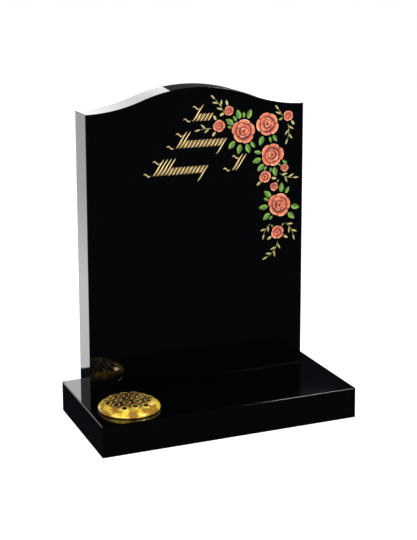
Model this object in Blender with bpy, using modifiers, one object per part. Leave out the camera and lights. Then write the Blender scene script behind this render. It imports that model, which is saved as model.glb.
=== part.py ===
# Ogee headstone: a polished granite headstone with an ogee top, standing on a granite base
# that holds a flower pot under a domed, perforated lid.
# Blender 4.5, metres, +Z up. The origin is the middle of the base's underside and the front faces -Y.

import math

import bmesh
import bpy
from mathutils import Matrix, Vector

# Base
BASE_WIDTH = 0.610
BASE_DEPTH = 0.305
BASE_HEIGHT = 0.071
BASE_ARRIS = 0.0015

# Headstone
STONE_WIDTH = 0.533
STONE_THICKNESS = 0.076
STONE_SHOULDER = 0.637
STONE_OGEE_RISE = 0.0495
STONE_BACK_MARGIN = 0.0215
STONE_ARRIS = 0.001
OGEE_ARC_STEPS = 10

# Lid of the flower holder
LID_DIAMETER = 0.138
LID_RISE = 0.020
LID_WALL = 0.0015
LID_RIM_EDGE = 0.002
LID_SEAT = 0.005
LID_SIDE_MARGIN = 0.020
LID_FRONT_MARGIN = 0.0135
LID_FULLNESS = 2.4
LID_STEPS = 6
LID_SIDES = 36

# Holes of the lid: one in the middle and rings of six and twelve round it
HOLE_DIAMETER = 0.0115
HOLE_RINGS = 2
HOLE_BORDER = 0.0205
HOLE_LIP_WIDTH = 0.0032
HOLE_LIP_HEIGHT = 0.0016
HOLE_SIDES = 10
HOLE_TURN = math.radians(59)

# Pot of the flower holder
POT_WALL = 0.0015
POT_FLANGE = 0.0012
POT_SEAT = 0.005
POT_LID_OVERHANG = 0.003
POT_TAPER = 0.006
POT_FILLET = 0.005
POT_FOOT_CLEARANCE = 0.009
BORE_CLEARANCE = 0.002
POT_SIDES = 40

# Room that meshes which touch keep between them
TOUCH_GAP = 0.0003

# How the meshes are finished
ARRIS_ANGLE = math.radians(30)
SMOOTH_ANGLE = math.radians(30)
WELD_DISTANCE = 1e-6
FLAT_ANGLE = 1e-4

# The carving is one composition, measured in from the stone's right edge and down from its shoulder
# Carved rows of slanted, tapering strokes
ROW_HEIGHT = 0.018
ROW_CAPITAL = 0.038
ROW_PITCH = 0.0094
ROW_SPACING = 0.060
ROW_FIRST_DROP = 0.029
STROKE_SLANT = math.radians(36)
STROKE_WIDTH = 0.0032
STROKE_STEPS = 4
STROKE_BOW_SHARE = 0.03
STROKE_TIP_SHARE = 0.15
LINK_WIDTH = 0.0012
ROW_TAIL = 0.019
SWASH_LENGTH = 0.018
SWASH_RISE = 0.0035
SWASH_WIDTH = 0.0024
SWASH_STEPS = 6
STROKE_DEPTH_RATIO = 0.8
# Each group of strokes: its row, how far in its left end is, how many tall strokes it starts with,
# how many short ones follow, and whether the last one runs on below the row
STROKE_GROUPS = (
    (0, 0.3025, 1, 4, False),
    (1, 0.3435, 2, 11, True),
    (2, 0.3995, 4, 10, True),
    (2, 0.2045, 2, 0, False),
)

# Carved spray of roses, its headings in degrees from the right, turning left
ROSE_DEPTH = 0.0011
PETAL_GAP = 0.0011
# Each ring of petals in a rose or a bud: how many, the shares of the radius they start and end at,
# and how far the ring is turned, in radians
ROSE_RING_SHARES = ((5, 0.62, 1.0, 0.0), (5, 0.34, 0.62, math.pi / 5), (3, 0.06, 0.34, 0.0))
BUD_RING_SHARES = ((4, 0.5, 1.0, 0.0), (3, 0.1, 0.5, 1.0))
# A petal's edge: the share of its half width, and the share of its reach there
PETAL_EDGE_SHARES = ((-1, 0.9), (-0.6, 0.99), (0, 1), (0.6, 0.99), (1, 0.9))
PETAL_UNEVEN_SHARE = 0.05
PETAL_UNEVEN_ANGLE = 2.4
PETAL_HEART_SHARE = 0.35
# Each full rose: in, down, diameter, turn of its petals, headings of the leaves round it
ROSES = (
    (0.1530, 0.059, 0.060, 12, (70, 108, 146, 226, 256, 286)),
    (0.0920, 0.046, 0.058, 40, (248,)),
    (0.0790, 0.119, 0.058, 75, (196, 224, 280)),
    (0.0600, 0.240, 0.059, 5, (84, 138, 184, 218, 318, 350)),
)
# Each bud: in, down, diameter, turn of its petals
BUDS = (
    (0.1895, 0.009, 0.024, 30),
    (0.2140, 0.043, 0.030, 10),
    (0.0385, 0.029, 0.026, 50),
    (0.0470, 0.152, 0.020, 0),
    (0.0970, 0.170, 0.030, 20),
    (0.0740, 0.195, 0.021, 65),
    (0.0640, 0.306, 0.034, 35),
)
LEAF_LENGTH = 0.023
LEAF_WIDTH = 0.015
LEAF_GAP = 0.001
LEAF_DEPTH_RATIO = 0.15
# A leaf's outline: the share of its length, and the share of its width there
LEAF_EDGE_SHARES = ((0.0, 0.12), (0.22, 0.82), (0.5, 1.0), (0.78, 0.6), (1.0, 0.05))
# Each sprig: in, down, heading at its root, bend along it, number of leaflets
SPRIGS = (
    (0.2030, 0.012, 115, 20, 4),
    (0.2320, 0.048, 172, 20, 3),
    (0.0540, 0.030, 110, 20, 2),
    (0.0400, 0.046, 290, -40, 4),
    (0.0600, 0.164, 320, 40, 4),
    (0.0830, 0.284, 215, 40, 3),
    (0.0450, 0.284, 325, -40, 4),
    (0.0640, 0.326, 265, -60, 5),
)
LEAFLET_LENGTH = 0.0145
LEAFLET_WIDTH = 0.0052
LEAFLET_PITCH = 0.0095
LEAFLET_SPREAD = math.radians(42)
LEAFLET_SETBACK_SHARE = 0.35
STEM_WIDTH = 0.0011
STEM_TIP_SHARE = 0.6
SPRIG_DEPTH_RATIO = 0.5

# How far the cutters stand out of the face that they cut
GROOVE_PROUD = 0.0001
PETAL_PROUD = 0.00002

# Places that follow from the sizes
STONE_FRONT = BASE_DEPTH / 2 - STONE_BACK_MARGIN - STONE_THICKNESS
STONE_FOOT = BASE_HEIGHT + TOUCH_GAP
SHOULDER_LEVEL = STONE_FOOT + STONE_SHOULDER
LID_RADIUS = LID_DIAMETER / 2
HOLDER_X = -BASE_WIDTH / 2 + LID_SIDE_MARGIN + LID_RADIUS
HOLDER_Y = -BASE_DEPTH / 2 + LID_FRONT_MARGIN + LID_RADIUS
FLANGE_RADIUS = LID_RADIUS - POT_LID_OVERHANG
BORE_RADIUS = FLANGE_RADIUS - POT_SEAT
FLANGE_LEVEL = BASE_HEIGHT + TOUCH_GAP
LID_LEVEL = FLANGE_LEVEL + POT_FLANGE + TOUCH_GAP
DOME_RISE = LID_RISE - LID_RIM_EDGE


def clear_scene():
    """Removes the objects that Blender starts with."""
    for thing in list(bpy.data.objects):
        bpy.data.objects.remove(thing, do_unlink=True)


def new_collection(name, hidden=False):
    group = bpy.data.collections.new(name)
    group.hide_render = hidden
    bpy.context.scene.collection.children.link(group)
    return group


def new_material(name, colour, roughness, metallic=0.0):
    finish = bpy.data.materials.new(name)
    finish.use_nodes = True
    shader = finish.node_tree.nodes["Principled BSDF"]
    shader.inputs["Base Color"].default_value = (*colour, 1.0)
    shader.inputs["Roughness"].default_value = roughness
    shader.inputs["Metallic"].default_value = metallic
    return finish


def new_object(name, mesh, group):
    thing = bpy.data.objects.new(name, mesh)
    group.objects.link(thing)
    return thing


def object_of(name, shape, group):
    """Turns a bmesh into an object, with its faces pointing out."""
    bmesh.ops.recalc_face_normals(shape, faces=shape.faces)
    mesh = bpy.data.meshes.new(name)
    shape.to_mesh(mesh)
    shape.free()
    return new_object(name, mesh, group)


def mesh_from_curve(guide, name, group):
    """Makes a curve object a mesh whose caps are welded, and removes the curve."""
    bpy.context.view_layer.update()
    graph = bpy.context.evaluated_depsgraph_get()
    mesh = bpy.data.meshes.new_from_object(guide.evaluated_get(graph))
    place = guide.matrix_world.copy()
    bpy.data.objects.remove(guide, do_unlink=True)
    shape = bmesh.new()
    shape.from_mesh(mesh)
    bmesh.ops.remove_doubles(shape, verts=shape.verts, dist=WELD_DISTANCE)
    bmesh.ops.dissolve_limit(shape, angle_limit=FLAT_ANGLE, verts=shape.verts, edges=shape.edges)
    bmesh.ops.recalc_face_normals(shape, faces=shape.faces)
    shape.to_mesh(mesh)
    shape.free()
    mesh.name = name
    solid = new_object(name, mesh, group)
    solid.matrix_world = place
    return solid


def hide_cutter(cutter):
    cutter.hide_render = True
    cutter.display_type = "WIRE"


def add_boolean(solid, cutter, operation):
    change = solid.modifiers.new(cutter.name, "BOOLEAN")
    change.operation = operation
    change.solver = "EXACT"
    change.object = cutter
    hide_cutter(cutter)


def cut_together(solid, cutters):
    """Cuts with every cutter of a collection in one step, which leaves no slivers between the cuts."""
    change = solid.modifiers.new(cutters.name, "BOOLEAN")
    change.operation = "DIFFERENCE"
    change.solver = "EXACT"
    change.operand_type = "COLLECTION"
    change.collection = cutters
    for cutter in cutters.objects:
        hide_cutter(cutter)


def add_bevel(solid, width):
    arris = solid.modifiers.new("arris", "BEVEL")
    arris.width = width
    arris.segments = 1
    arris.limit_method = "ANGLE"
    arris.angle_limit = ARRIS_ANGLE


def add_screw(section, sides):
    turn = section.modifiers.new("turned", "SCREW")
    turn.steps = sides
    turn.render_steps = sides
    turn.use_merge_vertices = True
    turn.merge_threshold = WELD_DISTANCE


def add_spline(guide_data, points, closed):
    line = guide_data.splines.new("POLY")
    line.points.add(len(points) - 1)
    line.use_cyclic_u = closed
    for knot, (across, up) in zip(line.points, points):
        knot.co = (across, up, 0, 1)
    return line


def turned_solid(name, profile, sides, x, y, group):
    """A profile of (radius, height) points, from the axis round its outer side and back, turned about Z."""
    mesh = bpy.data.meshes.new(name)
    steps = [(i, i + 1) for i in range(len(profile) - 1)]
    mesh.from_pydata([(radius, 0, height) for radius, height in profile], steps, [])
    solid = new_object(name, mesh, group)
    solid.location = (x, y, 0)
    add_screw(solid, sides)
    return solid


# Headstone


def ogee_points():
    """The top edge from the right shoulder to the left, in two equal tangent arcs each side."""
    half = STONE_WIDTH / 2
    radius = (half**2 + STONE_OGEE_RISE**2) / (4 * STONE_OGEE_RISE)
    sweep = math.asin(half / 2 / radius)
    right = []
    for i in range(OGEE_ARC_STEPS + 1):
        angle = sweep * i / OGEE_ARC_STEPS
        right.append((half - radius * math.sin(angle), radius * (1 - math.cos(angle))))
    for i in range(OGEE_ARC_STEPS - 1, -1, -1):
        angle = sweep * i / OGEE_ARC_STEPS
        right.append((radius * math.sin(angle), STONE_OGEE_RISE - radius * (1 - math.cos(angle))))
    return right + [(-across, up) for across, up in reversed(right[:-1])]


def make_stone(group):
    half = STONE_WIDTH / 2
    outline = [(-half, -STONE_SHOULDER), (half, -STONE_SHOULDER)] + ogee_points()
    slab = bpy.data.curves.new("slab", "CURVE")
    slab.dimensions = "2D"
    slab.fill_mode = "BOTH"
    slab.extrude = STONE_THICKNESS / 2
    add_spline(slab, outline, closed=True)
    guide = new_object("slab", slab, group)
    guide.location = (0, STONE_FRONT + STONE_THICKNESS / 2, SHOULDER_LEVEL)
    guide.rotation_euler = (math.pi / 2, 0, 0)
    stone = mesh_from_curve(guide, "headstone", group)
    add_bevel(stone, STONE_ARRIS)
    return stone


def at_face(inward, down):
    """A place on the face, from how far in it is from the right edge and down from the shoulder."""
    return STONE_WIDTH / 2 - inward, -down


def tapered(point_at, width, steps, tip):
    """A groove: points along a path, with half widths that swell in the middle and taper to both ends."""
    shares = [i / steps for i in range(steps + 1)]
    halves = [width / 2 * (tip + (1 - tip) * math.sin(math.pi * share)) for share in shares]
    return [point_at(share) for share in shares], halves


def slanted_stroke(foot, level, height, width):
    lean = height * math.tan(STROKE_SLANT)
    bow = ROW_HEIGHT * STROKE_BOW_SHARE

    def point_at(share):
        return (foot + lean * share + bow * math.sin(2 * math.pi * share), level + height * share)

    return tapered(point_at, width, STROKE_STEPS, STROKE_TIP_SHARE)


def wave_stroke(left, level):
    def point_at(share):
        return (left + SWASH_LENGTH * share, level + SWASH_RISE * math.sin(2 * math.pi * share))

    return tapered(point_at, SWASH_WIDTH, SWASH_STEPS, STROKE_TIP_SHARE)


def group_of_strokes(row, inward, tall, short, tailed):
    """Two waves, then tall strokes and short ones side by side, with a thin stroke between each two."""
    left, level = at_face(inward, ROW_FIRST_DROP + row * ROW_SPACING)
    first = left + SWASH_LENGTH
    brow = ROW_CAPITAL - 2 * SWASH_RISE
    grooves = [
        wave_stroke(left, level + SWASH_RISE),
        wave_stroke(left + brow * math.tan(STROKE_SLANT), level + brow),
    ]
    for i in range(tall + short):
        foot = first + (i + 0.5) * ROW_PITCH
        height = ROW_CAPITAL if i < tall else ROW_HEIGHT
        drop = ROW_TAIL if tailed and i == tall + short - 1 else 0
        start = foot - drop * math.tan(STROKE_SLANT)
        grooves.append(slanted_stroke(start, level - drop, height + drop, STROKE_WIDTH))
        if i + 1 < tall + short:
            grooves.append(slanted_stroke(foot + ROW_PITCH / 2, level, ROW_HEIGHT, LINK_WIDTH))
    return grooves


def around(centre, heading, reach):
    return centre[0] + reach * math.cos(heading), centre[1] + reach * math.sin(heading)


def leaf_groove(root, heading, length, width):
    """A leaf: a groove that is widest at its middle and ends in a point."""
    points = [around(root, heading, length * share) for share, _ in LEAF_EDGE_SHARES]
    return points, [width / 2 * swell for _, swell in LEAF_EDGE_SHARES]


def leaves_round_roses():
    grooves = []
    for inward, down, diameter, _, headings in ROSES:
        for degrees in headings:
            heading = math.radians(degrees)
            root = around(at_face(inward, down), heading, diameter / 2 + LEAF_GAP)
            grooves.append(leaf_groove(root, heading, LEAF_LENGTH, LEAF_WIDTH))
    return grooves


def sprig_grooves(inward, down, degrees, bend_degrees, leaflets):
    """A stem on an arc with leaflets on its two sides in turn and one at its tip."""
    root = at_face(inward, down)
    start = math.radians(degrees)
    bend = math.radians(bend_degrees)
    length = LEAFLET_PITCH * leaflets
    radius = length / bend

    def point_at(share):
        turned = start + bend * share
        return (
            root[0] + radius * (math.sin(turned) - math.sin(start)),
            root[1] - radius * (math.cos(turned) - math.cos(start)),
        )

    grooves = [tapered(point_at, STEM_WIDTH, STROKE_STEPS, STEM_TIP_SHARE)]
    for i in range(1, leaflets):
        share = (i - LEAFLET_SETBACK_SHARE) / leaflets
        side = 1 if i % 2 else -1
        heading = start + bend * share + side * LEAFLET_SPREAD
        foot = around(point_at(share), heading, STEM_WIDTH + LEAF_GAP / 2)
        grooves.append(leaf_groove(foot, heading, LEAFLET_LENGTH, LEAFLET_WIDTH))
    tip = around(point_at(1), start + bend, LEAF_GAP / 2)
    grooves.append(leaf_groove(tip, start + bend, LEAFLET_LENGTH, LEAFLET_WIDTH))
    return grooves


def make_groove_cutter(name, grooves, depth_ratio, group):
    """One cutter for many grooves: tapering four-sided bars whose middles lie just in front of the face."""
    bars = bpy.data.curves.new(name, "CURVE")
    bars.dimensions = "3D"
    bars.twist_mode = "Z_UP"
    bars.bevel_depth = 1.0
    bars.bevel_resolution = 0
    bars.use_fill_caps = True
    for points, halves in grooves:
        line = add_spline(bars, points, closed=False)
        for knot, half in zip(line.points, halves):
            knot.radius = half
    guide = new_object(name, bars, group)
    guide.location = (0, STONE_FRONT - GROOVE_PROUD, SHOULDER_LEVEL)
    guide.rotation_euler = (math.pi / 2, 0, 0)
    cutter = mesh_from_curve(guide, name, group)
    cutter.data.transform(Matrix.Diagonal((1, 1, depth_ratio, 1)))
    return cutter


def petal_ring(centre, petals, inner, outer, turn):
    """Outlines of the petals round a rose between two radii, each with the place of its deepest point."""
    outlines = []
    pitch = 2 * math.pi / petals
    for k in range(petals):
        middle = turn + pitch * k
        reach = outer * (1 - PETAL_UNEVEN_SHARE * (1 + math.sin(PETAL_UNEVEN_ANGLE * k + turn)))
        outline = []
        half = pitch / 2 - PETAL_GAP / 2 / outer
        for share, fullness in PETAL_EDGE_SHARES:
            outline.append(around(centre, middle + half * share, reach * fullness))
        half = pitch / 2 - PETAL_GAP / 2 / max(inner, PETAL_GAP)
        for share in (1, 0, -1):
            outline.append(around(centre, middle + half * share, inner))
        outlines.append((outline, around(centre, middle, inner + PETAL_HEART_SHARE * (reach - inner))))
    return outlines


def flower_petals(inward, down, diameter, degrees, rings):
    """A rose or a bud: rings of petals, the last of them closed round its heart."""
    centre = at_face(inward, down)
    radius = diameter / 2
    petals = []
    for count, inner, outer, turn in rings:
        room = 0 if outer == 1 else PETAL_GAP
        heading = math.radians(degrees) + turn
        petals += petal_ring(centre, count, inner * radius, outer * radius - room, heading)
    return petals


def make_petal_cutter(name, petals, depth, group):
    """One cutter for many petals: cones on the petals' outlines, pointing into the stone."""
    shape = bmesh.new()
    swell = (depth + PETAL_PROUD) / depth
    for outline, heart in petals:
        made = bmesh.ops.create_cone(
            shape, cap_ends=True, segments=len(outline), radius1=1, radius2=0, depth=1
        )["verts"]
        ring = sorted((v for v in made if v.co.z < 0), key=lambda v: math.atan2(v.co.y, v.co.x))
        for vertex, (across, up) in zip(ring, outline):
            across = heart[0] + (across - heart[0]) * swell
            up = heart[1] + (up - heart[1]) * swell
            vertex.co = (across, up, PETAL_PROUD)
        for vertex in made:
            if vertex not in ring:
                vertex.co = (*heart, -depth)
    cutter = object_of(name, shape, group)
    cutter.location = (0, STONE_FRONT, SHOULDER_LEVEL)
    cutter.rotation_euler = (math.pi / 2, 0, 0)
    return cutter


def carve_stone(stone):
    strokes = []
    for group in STROKE_GROUPS:
        strokes += group_of_strokes(*group)
    sprigs = []
    for sprig in SPRIGS:
        sprigs += sprig_grooves(*sprig)
    petals = []
    for rose in ROSES:
        petals += flower_petals(*rose[:4], ROSE_RING_SHARES)
    for bud in BUDS:
        petals += flower_petals(*bud, BUD_RING_SHARES)
    carving = new_collection("carving", hidden=True)
    make_groove_cutter("strokes", strokes, STROKE_DEPTH_RATIO, carving)
    make_groove_cutter("leaves", leaves_round_roses(), LEAF_DEPTH_RATIO, carving)
    make_groove_cutter("sprigs", sprigs, SPRIG_DEPTH_RATIO, carving)
    make_petal_cutter("petals", petals, ROSE_DEPTH, carving)
    cut_together(stone, carving)


# Base


def make_base(group, cutters):
    shape = bmesh.new()
    bmesh.ops.create_cube(shape, size=1)
    bmesh.ops.scale(shape, vec=(BASE_WIDTH, BASE_DEPTH, BASE_HEIGHT), verts=shape.verts)
    bmesh.ops.translate(shape, vec=(0, 0, BASE_HEIGHT / 2), verts=shape.verts)
    base = object_of("base", shape, group)
    add_bevel(base, BASE_ARRIS)
    drill = bmesh.new()
    bmesh.ops.create_cone(
        drill,
        cap_ends=True,
        segments=POT_SIDES,
        radius1=BORE_RADIUS,
        radius2=BORE_RADIUS,
        depth=3 * BASE_HEIGHT,
    )
    bore = object_of("bore", drill, cutters)
    bore.location = (HOLDER_X, HOLDER_Y, BASE_HEIGHT / 2)
    add_boolean(base, bore, "DIFFERENCE")
    return base


# Flower holder


def make_pot(group):
    """A tapering cup that hangs in the base by its flange."""
    top = FLANGE_LEVEL + POT_FLANGE
    bottom = POT_FOOT_CLEARANCE
    mouth = BORE_RADIUS - BORE_CLEARANCE
    foot = mouth - POT_TAPER
    profile = [
        (0, bottom + POT_WALL),
        (foot - POT_FILLET, bottom + POT_WALL),
        (foot - POT_WALL, bottom + POT_FILLET),
        (mouth - POT_WALL, top),
        (FLANGE_RADIUS, top),
        (FLANGE_RADIUS, FLANGE_LEVEL),
        (mouth, FLANGE_LEVEL),
        (foot, bottom + POT_FILLET),
        (foot - POT_FILLET, bottom),
        (0, bottom),
    ]
    return turned_solid("pot", profile, POT_SIDES, HOLDER_X, HOLDER_Y, group)


def dome_points(radius, foot, rise):
    """A dome's section from its crown to its foot: a superellipse, flat on top and steep at the rim."""
    points = []
    for i in range(LID_STEPS + 1):
        angle = math.pi / 2 * i / LID_STEPS
        points.append((radius * math.sin(angle) ** (2 / LID_FULLNESS), foot + rise * math.cos(angle)))
    return points


def dome_height(reach):
    """The outer side of the dome at a distance from its axis."""
    return LID_LEVEL + LID_RIM_EDGE + DOME_RISE * math.sqrt(1 - (reach / LID_RADIUS) ** LID_FULLNESS)


def hole_places():
    """The places of the lid's holes from its axis: one in the middle, then rings of six, twelve and so on."""
    pitch = (LID_RADIUS - HOLE_BORDER) / HOLE_RINGS
    places = [(0.0, 0.0)]
    for ring in range(1, HOLE_RINGS + 1):
        for side in range(6):
            corner = HOLE_TURN + math.pi / 3 * side
            along = corner + math.pi * 2 / 3
            for step in range(ring):
                places.append(
                    (
                        pitch * (ring * math.cos(corner) + step * math.cos(along)),
                        pitch * (ring * math.sin(corner) + step * math.sin(along)),
                    )
                )
    return places


def on_dome(across, up):
    """A frame on the dome over a place: its Z leaves the dome at a right angle."""
    reach = math.hypot(across, up)
    slight = LID_RADIUS * 1e-3
    fall = (dome_height(max(reach - slight, 0)) - dome_height(reach + slight)) / (2 * slight)
    out = Vector((across, up, 0)).normalized() if reach else Vector((0, 0, 0))
    normal = (Vector((0, 0, 1)) + out * fall).normalized() if reach else Vector((0, 0, 1))
    turned = normal.to_track_quat("Z", "Y").to_matrix().to_4x4()
    return Matrix.Translation((across, up, dome_height(reach))) @ turned


def cones_on_dome(name, low_radius, high_radius, below, above, group):
    """A short cone square to the dome at each hole, from below its outer side to above it."""
    shape = bmesh.new()
    lift = Matrix.Translation((0, 0, (above - below) / 2))
    for across, up in hole_places():
        bmesh.ops.create_cone(
            shape,
            cap_ends=True,
            segments=HOLE_SIDES,
            radius1=low_radius,
            radius2=high_radius,
            depth=above + below,
            matrix=on_dome(across, up) @ lift,
        )
    cones = object_of(name, shape, group)
    cones.location = (HOLDER_X, HOLDER_Y, 0)
    return cones


def make_lid(group, cutters):
    """A thin dome whose rim is turned in to rest on the pot's flange, with lips round its holes."""
    seat = FLANGE_RADIUS - LID_SEAT
    profile = dome_points(LID_RADIUS, LID_LEVEL + LID_RIM_EDGE, DOME_RISE)
    profile += [(LID_RADIUS, LID_LEVEL), (seat, LID_LEVEL), (seat, LID_LEVEL + LID_WALL)]
    inner = dome_points(LID_RADIUS - LID_WALL, LID_LEVEL + LID_WALL, LID_RISE - 2 * LID_WALL)
    profile += reversed(inner)
    lid = turned_solid("lid", profile, LID_SIDES, HOLDER_X, HOLDER_Y, group)
    hole_radius = HOLE_DIAMETER / 2
    lip_radius = hole_radius + HOLE_LIP_WIDTH
    crest = hole_radius + HOLE_LIP_WIDTH / 3
    lips = cones_on_dome("lips", lip_radius, crest, LID_WALL / 2, HOLE_LIP_HEIGHT, cutters)
    holes = cones_on_dome("holes", hole_radius, hole_radius, 4 * LID_WALL, 4 * LID_WALL, cutters)
    add_boolean(lid, lips, "UNION")
    add_boolean(lid, holes, "DIFFERENCE")
    return lid


def shade(solid, finish, smooth=False):
    solid.data.materials.clear()
    solid.data.materials.append(finish)
    if smooth:
        solid.data.shade_smooth()
        solid.data.set_sharp_from_angle(angle=SMOOTH_ANGLE)


def main():
    clear_scene()
    parts = new_collection("ogee_headstone")
    cutters = new_collection("cutters", hidden=True)
    stone = make_stone(parts)
    carve_stone(stone)
    base = make_base(parts, cutters)
    pot = make_pot(parts)
    lid = make_lid(parts, cutters)
    shade(stone, new_material("polished black granite, headstone", (0.006, 0.006, 0.008), 0.06))
    shade(base, new_material("polished black granite, base", (0.006, 0.006, 0.008), 0.08))
    shade(pot, new_material("spun brass, pot", (0.55, 0.38, 0.13), 0.35, 1.0), smooth=True)
    shade(lid, new_material("polished brass, lid", (0.85, 0.58, 0.16), 0.2, 1.0), smooth=True)


main()
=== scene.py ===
# Ogee headstone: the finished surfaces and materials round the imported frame
# Blender 4.5, metres, +Z up. The front faces -Y and the origin is the middle of the base's underside.
import math

import bmesh
import bpy
import numpy as np
from mathutils import Euler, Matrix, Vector
from mathutils.geometry import delaunay_2d_cdt


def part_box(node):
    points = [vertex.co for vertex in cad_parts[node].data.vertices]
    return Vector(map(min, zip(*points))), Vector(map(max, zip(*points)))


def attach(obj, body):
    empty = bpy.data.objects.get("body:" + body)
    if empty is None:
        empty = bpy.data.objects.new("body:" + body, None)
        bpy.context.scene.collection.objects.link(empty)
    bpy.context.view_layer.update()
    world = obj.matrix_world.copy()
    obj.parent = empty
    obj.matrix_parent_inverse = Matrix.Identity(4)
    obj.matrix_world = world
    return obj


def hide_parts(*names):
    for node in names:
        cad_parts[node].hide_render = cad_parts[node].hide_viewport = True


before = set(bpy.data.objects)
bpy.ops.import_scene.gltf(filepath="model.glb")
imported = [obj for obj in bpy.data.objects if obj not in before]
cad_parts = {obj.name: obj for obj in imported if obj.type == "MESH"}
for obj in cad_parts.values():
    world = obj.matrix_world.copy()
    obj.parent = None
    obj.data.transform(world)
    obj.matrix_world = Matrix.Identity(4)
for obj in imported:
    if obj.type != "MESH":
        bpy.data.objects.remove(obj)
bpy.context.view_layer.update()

# Node trees: an input takes a constant, or another node's output, which is then linked


def setInputs(tree, node, inputs):
    for name, value in inputs.items():
        if isinstance(value, bpy.types.NodeSocket):
            tree.links.new(value, node.inputs[name])
        else:
            node.inputs[name].default_value = (*value, 1) if isinstance(value, tuple) else value
    return node


def addNode(tree, kind, place, inputs=None, **values):
    made = tree.nodes.new("ShaderNode" + kind)
    made.location = place
    for name, value in values.items():
        setattr(made, name, value)
    return setInputs(tree, made, inputs or {})


def rampOf(tree, place, source, stops):
    # a number turned to a colour, or to a grey where a stop has one number
    ramp = addNode(tree, "ValToRGB", place, {"Fac": source})
    while len(ramp.color_ramp.elements) < len(stops):
        ramp.color_ramp.elements.new(0.5)
    for element, (position, colour) in zip(ramp.color_ramp.elements, stops):
        element.position = position
        element.color = (*(np.ones(3) * colour), 1)
    return ramp.outputs["Color"]


def mixOf(tree, place, factor, first, second):
    return addNode(tree, "Mix", place, {"Factor": factor, 6: first, 7: second}, data_type="RGBA").outputs[2]


def mathOf(tree, place, operation, *terms, **values):
    made = addNode(tree, "Math", place, dict(enumerate(terms)), operation=operation, **values)
    return made.outputs["Value"]


def objectPlace(tree, place):
    return addNode(tree, "TexCoord", place).outputs["Object"]


def noiseOf(tree, place, vector, scale, detail, roughness=0.5):
    inputs = {"Vector": vector, "Scale": scale, "Detail": detail, "Roughness": roughness}
    return addNode(tree, "TexNoise", place, inputs).outputs["Fac"]


def surfaceUv(tree, place):
    # the two parts of the surface's own coordinates
    uv = addNode(tree, "UVMap", place, uv_map="surface")
    parts = addNode(tree, "SeparateXYZ", (place[0] + 180, place[1]), {"Vector": uv.outputs["UV"]})
    return parts.outputs["X"], parts.outputs["Y"]


def addBump(tree, source, shader, strength, distance):
    bump = addNode(tree, "Bump", (-250, -250), {"Height": source, "Strength": strength, "Distance": distance})
    setInputs(tree, shader, {"Normal": bump.outputs["Normal"]})


def newGroup(name, colours, numbers, outputs):
    # a node group with its sockets, and the outputs of what it is given
    group = bpy.data.node_groups.new(name, "ShaderNodeTree")
    for label in colours:
        group.interface.new_socket(name=label, in_out="INPUT", socket_type="NodeSocketColor")
    for label, value in numbers.items():
        socket = group.interface.new_socket(name=label, in_out="INPUT", socket_type="NodeSocketFloat")
        socket.default_value = value
    for label in outputs:
        kind = "NodeSocketColor" if label == "Color" else "NodeSocketFloat"
        group.interface.new_socket(name=label, in_out="OUTPUT", socket_type=kind)
    start = group.nodes.new("NodeGroupInput")
    start.location = (-900, 0)
    return group, start.outputs


def endGroup(group, results):
    end = group.nodes.new("NodeGroupOutput")
    end.location = (700, 0)
    setInputs(group, end, results)
    return group


def useGroup(tree, group, place, inputs):
    return addNode(tree, "Group", place, inputs, node_tree=group).outputs


def newMaterial(name, fixed):
    material = bpy.data.materials.new(name)
    material.use_nodes = True
    tree = material.node_tree
    return material, tree, setInputs(tree, tree.nodes["Principled BSDF"], fixed)


# Meshes: a patch holds points, faces, uv, slot and smooth, and a piece is patches welded together


def addObject(name, data):
    made = bpy.data.objects.new(name, data)
    bpy.context.scene.collection.objects.link(made)
    return made


def turned(heading):
    return np.array([math.cos(heading), math.sin(heading)])


def circle(angle):
    return np.stack([np.cos(angle), np.sin(angle)], axis=-1)


def turnsOf(count):
    return np.linspace(0, 2 * np.pi, count, endpoint=False)


def atLevel(line, level):
    return np.column_stack([line, np.full(len(line), level)])


def gridFaces(rows, columns, wrap=False):
    # quads between the points of a grid that is stored row by row; wrap joins its last column to its first
    row = np.arange(rows - 1)[:, None]
    column = np.arange(columns if wrap else columns - 1)[None, :]
    near = row * columns + column
    far = row * columns + (column + 1) % columns
    return np.stack([near, far, far + columns, near + columns], axis=-1).reshape(-1, 4)


def patchOf(points, faces, slot=0, smooth=True, uv=None):
    points = np.asarray(points, float).reshape(-1, 3)
    uv = np.zeros((len(points), 2)) if uv is None else np.asarray(uv, float).reshape(-1, 2)
    return {"points": points, "faces": np.asarray(faces), "uv": uv, "slot": slot, "smooth": smooth}


def pieceOf(name, patches, materials, weld=2e-7):
    starts = np.cumsum([0] + [len(patch["points"]) for patch in patches])
    points = np.concatenate([patch["points"] for patch in patches])
    uv = np.concatenate([patch["uv"] for patch in patches])
    faces = []
    for patch, start in zip(patches, starts):
        faces += (patch["faces"] + start).tolist()
    counts = [len(patch["faces"]) for patch in patches]
    mesh = bpy.data.meshes.new(name)
    mesh.from_pydata(points.tolist(), [], faces)
    for attribute, key in (("material_index", "slot"), ("use_smooth", "smooth")):
        mesh.polygons.foreach_set(attribute, np.repeat([patch[key] for patch in patches], counts))
    corners = np.empty(len(mesh.loops), int)
    mesh.loops.foreach_get("vertex_index", corners)
    layer = mesh.uv_layers.new(name="surface")
    layer.data.foreach_set("uv", uv[corners].ravel())
    for material in materials:
        mesh.materials.append(material)
    shape = bmesh.new()
    shape.from_mesh(mesh)
    bmesh.ops.remove_doubles(shape, verts=shape.verts, dist=weld)
    bmesh.ops.dissolve_degenerate(shape, dist=weld, edges=shape.edges)
    bmesh.ops.recalc_face_normals(shape, faces=shape.faces)
    openEdges = sum(1 for edge in shape.edges if len(edge.link_faces) != 2)
    shape.to_mesh(mesh)
    shape.free()
    print(f"{name}: {len(mesh.polygons)} faces, {openEdges} open edges")
    return addObject(name, mesh)


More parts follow.
